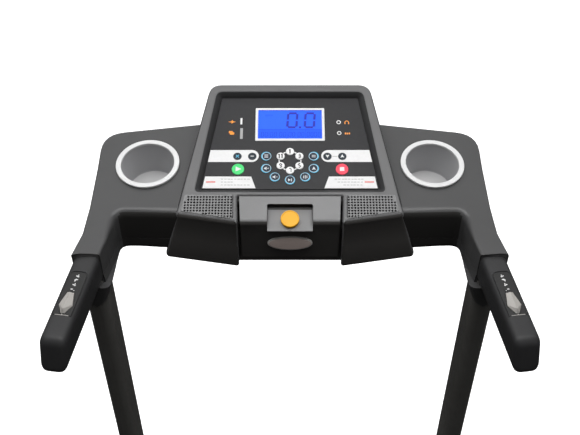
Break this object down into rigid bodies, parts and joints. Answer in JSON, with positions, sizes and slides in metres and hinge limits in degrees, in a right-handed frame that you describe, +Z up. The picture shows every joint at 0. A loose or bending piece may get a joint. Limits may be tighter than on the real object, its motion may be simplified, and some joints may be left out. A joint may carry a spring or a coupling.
{
  "type": "treadmill",
  "caption": "Folding motorised home treadmill: running deck, two uprights, tilted console with display and keypad, cup holders and handlebars.",
  "frame": {"origin": "on the floor, under the middle of the whole machine's bounding box", "axes": "+X to the runner's right, +Y the way the runner faces, +Z up"},
  "size_m": [0.6888, 1.7388, 1.2272],
  "materials": {
    "black_steel": "satin powder coat",
    "bright_steel": "turned",
    "motor_case": "satin",
    "grey_plastic": "fine texture",
    "light_grey_plastic": "satin",
    "black_plastic": "matte",
    "cup_plastic": "satin",
    "soft_grip": "soft touch",
    "rubber": "matte",
    "running_belt": "fine diamond texture",
    "deck_board": "waxed fibreboard",
    "overlay": "satin printed film",
    "screen": "backlit",
    "white_key": "satin",
    "blue_key": "satin",
    "dark_key": "satin",
    "green_key": "satin",
    "red_key": "satin",
    "yellow_key": "satin",
    "rocker_grey": "satin"
  },
  "bodies": {
    "stand": {"base_frame": "black_steel", "upright_left": "black_steel", "upright_right": "black_steel", "console_crossbar": "black_steel", "console_top_shell": "grey_plastic", "display_housing": "light_grey_plastic", "key_dock": "light_grey_plastic", "speaker_grille_left": "light_grey_plastic", "speaker_grille_right": "light_grey_plastic", "console_bottom_shell": "black_plastic", "grip_plate_left": "black_plastic", "grip_plate_right": "black_plastic", "cup_insert_left": "cup_plastic", "cup_insert_right": "cup_plastic", "grip_left": "soft_grip", "grip_right": "soft_grip", "rear_foot_left": "rubber", "rear_foot_right": "rubber", "keypad_overlay": "overlay", "lcd_module": "screen"},
    "deck": {"deck_frame": "black_steel", "running_board": "deck_board", "running_belt": "running_belt", "drive_belt": "rubber", "motor": "motor_case", "motor_hood": "grey_plastic", "side_rail_left": "grey_plastic", "side_rail_right": "grey_plastic", "deck_cap_left": "black_plastic", "deck_cap_right": "black_plastic"},
    "key_start": {"key_start": "green_key"},
    "key_stop": {"key_stop": "red_key"},
    "key_speed_1": {"key_speed_1": "white_key"},
    "key_speed_3": {"key_speed_3": "white_key"},
    "key_speed_5": {"key_speed_5": "white_key"},
    "key_speed_7": {"key_speed_7": "white_key"},
    "key_speed_9": {"key_speed_9": "white_key"},
    "key_speed_11": {"key_speed_11": "white_key"},
    "key_program": {"key_program": "blue_key"},
    "key_volume_up": {"key_volume_up": "blue_key"},
    "key_volume_down": {"key_volume_down": "blue_key"},
    "key_track": {"key_track": "blue_key"},
    "key_incline_down": {"key_incline_down": "blue_key"},
    "key_incline_up": {"key_incline_up": "blue_key"},
    "key_mode": {"key_mode": "blue_key"},
    "key_fan": {"key_fan": "dark_key"},
    "key_mute": {"key_mute": "dark_key"},
    "key_slower": {"key_slower": "dark_key"},
    "key_faster": {"key_faster": "dark_key"},
    "safety_key": {"safety_key": "yellow_key"},
    "handle_rocker_left": {"handle_rocker_left": "rocker_grey"},
    "handle_rocker_right": {"handle_rocker_right": "rocker_grey"},
    "transport_wheel_left": {"transport_wheel_left": "rubber"},
    "transport_wheel_right": {"transport_wheel_right": "rubber"},
    "strut_cylinder": {"strut_cylinder": "black_steel"},
    "strut_rod": {"strut_rod": "bright_steel"},
    "front_roller": {"front_roller": "bright_steel"},
    "rear_roller": {"rear_roller": "bright_steel"},
    "motor_rotor": {"motor_rotor": "bright_steel"},
    "power_switch": {"power_switch": "red_key"}
  },
  "joints": [
    {"name": "deck_fold", "type": "hinge", "parent": "stand", "child": "deck", "pos_m": [0, 0.5722, 0.093], "axis": [-1, 0, 0], "range_deg": [0, 70]},
    {"name": "strut_swing", "type": "hinge", "parent": "stand", "child": "strut_cylinder", "pos_m": [0, 0.5122, 0.028], "axis": [-1, 0, 0], "range_deg": [0, 72]},
    {"name": "strut_slide", "type": "slide", "parent": "strut_cylinder", "child": "strut_rod", "axis": [0, -0.9989, 0.0476], "range_m": [0, 0.103]},
    {"name": "front_roller_spin", "type": "hinge", "parent": "deck", "child": "front_roller", "pos_m": [0, 0.3572, 0.1122], "axis": [1, 0, 0], "continuous": true},
    {"name": "rear_roller_spin", "type": "hinge", "parent": "deck", "child": "rear_roller", "pos_m": [0, -0.8218, 0.1142], "axis": [1, 0, 0], "continuous": true},
    {"name": "motor_spin", "type": "hinge", "parent": "deck", "child": "motor_rotor", "pos_m": [0, 0.4972, 0.119], "axis": [1, 0, 0], "continuous": true},
    {"name": "power_switch_rock", "type": "hinge", "parent": "deck", "child": "power_switch", "pos_m": [0.186, 0.61713, 0.17783], "axis": [-1, 0, 0], "range_deg": [0, 8]},
    {"name": "transport_wheel_left_spin", "type": "hinge", "parent": "stand", "child": "transport_wheel_left", "pos_m": [-0.298, 0.7822, 0.03], "axis": [1, 0, 0], "continuous": true},
    {"name": "transport_wheel_right_spin", "type": "hinge", "parent": "stand", "child": "transport_wheel_right", "pos_m": [0.298, 0.7822, 0.03], "axis": [1, 0, 0], "continuous": true},
    {"name": "safety_key_pull", "type": "slide", "parent": "stand", "child": "safety_key", "axis": [0, -0.4067, 0.9135], "range_m": [0, 0.04]},
    {"name": "handle_rocker_left_tilt", "type": "hinge", "parent": "stand", "child": "handle_rocker_left", "pos_m": [-0.31475, 0.48314, 1.10011], "axis": [-0.9893, 0.1461, 0], "range_deg": [-5, 5], "stiffness_Nm_per_rad": 0.1},
    {"name": "handle_rocker_right_tilt", "type": "hinge", "parent": "stand", "child": "handle_rocker_right", "pos_m": [0.31475, 0.48314, 1.10011], "axis": [-0.9893, -0.1461, 0], "range_deg": [-5, 5], "stiffness_Nm_per_rad": 0.1},
    {"name": "key_start_press", "type": "slide", "parent": "stand", "child": "key_start", "axis": [0, 0.4067, -0.9135], "range_m": [0, 0.0006], "stiffness_N_per_m": 400, "springref_m": -0.0006},
    {"name": "key_stop_press", "type": "slide", "parent": "stand", "child": "key_stop", "axis": [0, 0.4067, -0.9135], "range_m": [0, 0.0006], "stiffness_N_per_m": 400, "springref_m": -0.0006},
    {"name": "key_speed_1_press", "type": "slide", "parent": "stand", "child": "key_speed_1", "axis": [0, 0.4067, -0.9135], "range_m": [0, 0.0006], "stiffness_N_per_m": 400, "springref_m": -0.0006},
    {"name": "key_speed_3_press", "type": "slide", "parent": "stand", "child": "key_speed_3", "axis": [0, 0.4067, -0.9135], "range_m": [0, 0.0006], "stiffness_N_per_m": 400, "springref_m": -0.0006},
    {"name": "key_speed_5_press", "type": "slide", "parent": "stand", "child": "key_speed_5", "axis": [0, 0.4067, -0.9135], "range_m": [0, 0.0006], "stiffness_N_per_m": 400, "springref_m": -0.0006},
    {"name": "key_speed_7_press", "type": "slide", "parent": "stand", "child": "key_speed_7", "axis": [0, 0.4067, -0.9135], "range_m": [0, 0.0006], "stiffness_N_per_m": 400, "springref_m": -0.0006},
    {"name": "key_speed_9_press", "type": "slide", "parent": "stand", "child": "key_speed_9", "axis": [0, 0.4067, -0.9135], "range_m": [0, 0.0006], "stiffness_N_per_m": 400, "springref_m": -0.0006},
    {"name": "key_speed_11_press", "type": "slide", "parent": "stand", "child": "key_speed_11", "axis": [0, 0.4067, -0.9135], "range_m": [0, 0.0006], "stiffness_N_per_m": 400, "springref_m": -0.0006},
    {"name": "key_program_press", "type": "slide", "parent": "stand", "child": "key_program", "axis": [0, 0.4067, -0.9135], "range_m": [0, 0.0006], "stiffness_N_per_m": 400, "springref_m": -0.0006},
    {"name": "key_volume_up_press", "type": "slide", "parent": "stand", "child": "key_volume_up", "axis": [0, 0.4067, -0.9135], "range_m": [0, 0.0006], "stiffness_N_per_m": 400, "springref_m": -0.0006},
    {"name": "key_volume_down_press", "type": "slide", "parent": "stand", "child": "key_volume_down", "axis": [0, 0.4067, -0.9135], "range_m": [0, 0.0006], "stiffness_N_per_m": 400, "springref_m": -0.0006},
    {"name": "key_track_press", "type": "slide", "parent": "stand", "child": "key_track", "axis": [0, 0.4067, -0.9135], "range_m": [0, 0.0006], "stiffness_N_per_m": 400, "springref_m": -0.0006},
    {"name": "key_incline_down_press", "type": "slide", "parent": "stand", "child": "key_incline_down", "axis": [0, 0.4067, -0.9135], "range_m": [0, 0.0006], "stiffness_N_per_m": 400, "springref_m": -0.0006},
    {"name": "key_incline_up_press", "type": "slide", "parent": "stand", "child": "key_incline_up", "axis": [0, 0.4067, -0.9135], "range_m": [0, 0.0006], "stiffness_N_per_m": 400, "springref_m": -0.0006},
    {"name": "key_mode_press", "type": "slide", "parent": "stand", "child": "key_mode", "axis": [0, 0.4067, -0.9135], "range_m": [0, 0.0006], "stiffness_N_per_m": 400, "springref_m": -0.0006},
    {"name": "key_fan_press", "type": "slide", "parent": "stand", "child": "key_fan", "axis": [0, 0.4067, -0.9135], "range_m": [0, 0.0006], "stiffness_N_per_m": 400, "springref_m": -0.0006},
    {"name": "key_mute_press", "type": "slide", "parent": "stand", "child": "key_mute", "axis": [0, 0.4067, -0.9135], "range_m": [0, 0.0006], "stiffness_N_per_m": 400, "springref_m": -0.0006},
    {"name": "key_slower_press", "type": "slide", "parent": "stand", "child": "key_slower", "axis": [0, 0.4067, -0.9135], "range_m": [0, 0.0006], "stiffness_N_per_m": 400, "springref_m": -0.0006},
    {"name": "key_faster_press", "type": "slide", "parent": "stand", "child": "key_faster", "axis": [0, 0.4067, -0.9135], "range_m": [0, 0.0006], "stiffness_N_per_m": 400, "springref_m": -0.0006}
  ],
  "couplings": [
    {"joint": "strut_swing", "follows": "deck_fold", "ratio": 1.0138},
    {"joint": "strut_slide", "follows": "deck_fold", "m_per_rad": 0.082806},
    {"joint": "rear_roller_spin", "follows": "front_roller_spin", "ratio": 1.0877},
    {"joint": "motor_spin", "follows": "front_roller_spin", "ratio": 2.963}
  ]
}
